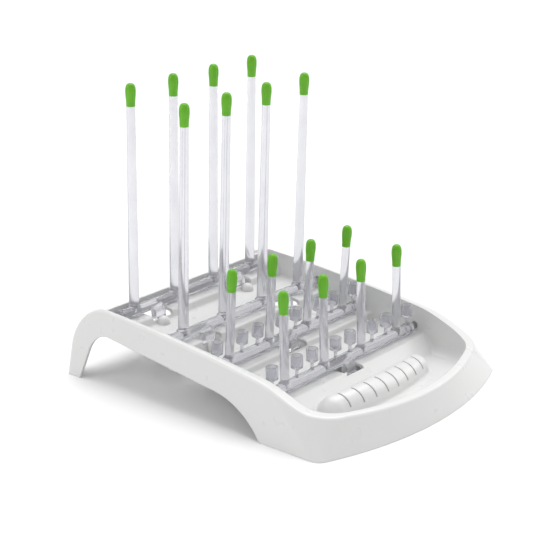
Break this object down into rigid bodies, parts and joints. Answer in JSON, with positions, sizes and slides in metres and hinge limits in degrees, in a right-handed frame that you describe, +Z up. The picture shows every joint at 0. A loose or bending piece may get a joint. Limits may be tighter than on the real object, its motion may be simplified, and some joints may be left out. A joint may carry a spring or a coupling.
{
  "type": "bottle drying rack",
  "caption": "Countertop drying rack with rows of folding pegs with soft tips and small cups over a terraced basin that drains into a front trough.",
  "frame": {"origin": "on the table, at the middle of the bounding box's base", "axes": "+X to the right as seen from the bowed front, +Y to the back feet, +Z up"},
  "size_m": [0.268, 0.332, 0.2754],
  "materials": {
    "white_tray": "smooth gloss, moulded",
    "clear_pegs": "frosted translucent",
    "green_tips": "satin, soft"
  },
  "bodies": {
    "tray": {"tray": "white_tray"},
    "row_1": {"peg_row_1": "clear_pegs", "tip_1_1": "green_tips", "tip_1_2": "green_tips", "tip_1_3": "green_tips", "tip_1_4": "green_tips"},
    "row_2": {"peg_row_2": "clear_pegs", "tip_2_1": "green_tips", "tip_2_2": "green_tips", "tip_2_3": "green_tips", "tip_2_4": "green_tips"},
    "row_3": {"peg_row_3": "clear_pegs", "tip_3_1": "green_tips", "tip_3_2": "green_tips", "tip_3_3": "green_tips", "tip_3_4": "green_tips"},
    "row_4": {"peg_row_4": "clear_pegs", "tip_4_1": "green_tips", "tip_4_2": "green_tips", "tip_4_3": "green_tips", "tip_4_4": "green_tips"}
  },
  "joints": [
    {"name": "row_1_fold", "type": "hinge", "parent": "tray", "child": "row_1", "pos_m": [0, 0.125, 0.0575], "axis": [1, 0, 0], "range_deg": [0, 82]},
    {"name": "row_2_fold", "type": "hinge", "parent": "tray", "child": "row_2", "pos_m": [0, 0.062, 0.049], "axis": [1, 0, 0], "range_deg": [0, 82]},
    {"name": "row_3_fold", "type": "hinge", "parent": "tray", "child": "row_3", "pos_m": [0, 0.006, 0.0375], "axis": [1, 0, 0], "range_deg": [0, 82]},
    {"name": "row_4_fold", "type": "hinge", "parent": "tray", "child": "row_4", "pos_m": [0, -0.059, 0.0305], "axis": [1, 0, 0], "range_deg": [0, 82]}
  ],
  "couplings": [
    {"joint": "row_2_fold", "follows": "row_1_fold", "ratio": 1},
    {"joint": "row_3_fold", "follows": "row_1_fold", "ratio": 1},
    {"joint": "row_4_fold", "follows": "row_1_fold", "ratio": 1}
  ]
}
